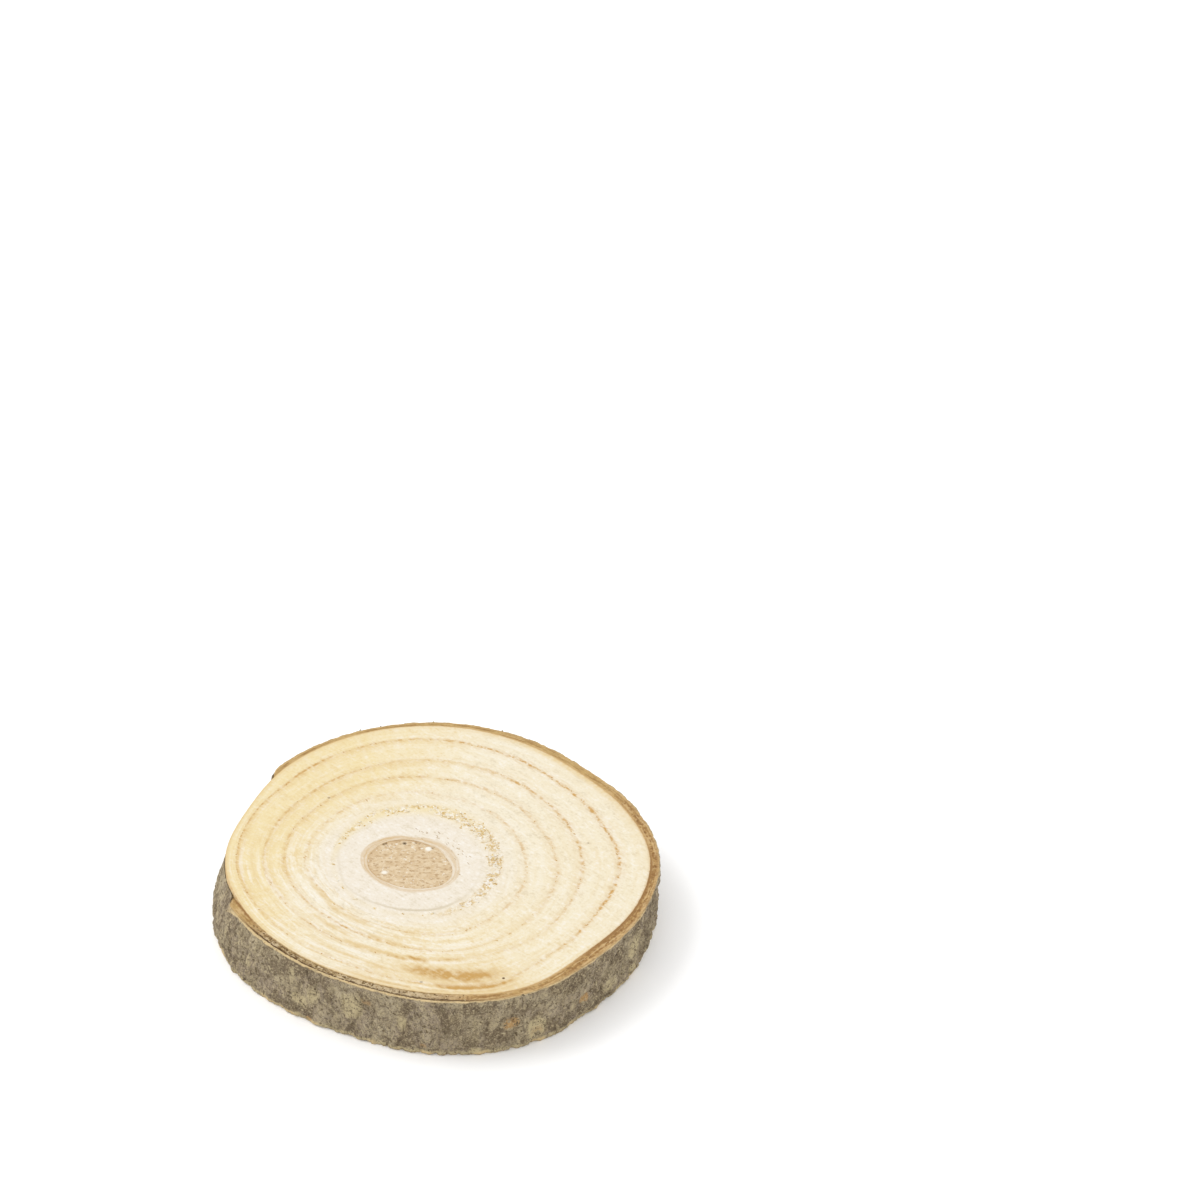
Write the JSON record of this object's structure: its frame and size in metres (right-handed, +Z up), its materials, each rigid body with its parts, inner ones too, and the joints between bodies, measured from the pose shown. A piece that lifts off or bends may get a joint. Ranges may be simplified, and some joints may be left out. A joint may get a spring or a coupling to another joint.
{
  "type": "wood slice",
  "caption": "Thin round slice sawn across a branch, with growth rings, an off-centre pith and rough grey-brown bark left on its edge.",
  "frame": {"origin": "middle of the slice's box, on its lower sawn face", "axes": "+Z up out of the upper sawn face, along the branch; the split behind the bark is on the -Y side and the torn patch of bark towards -X and +Y"},
  "size_m": [0.0642, 0.0636, 0.01],
  "materials": {
    "sawn_wood": "sawn, matt, unsealed",
    "bark": "rough grey-brown bark",
    "inner_bark": "fibrous brown inner bark",
    "pith": "soft, spongy pith"
  },
  "bodies": {
    "root": {"wood_slice": "sawn_wood"}
  },
  "joints": []
}
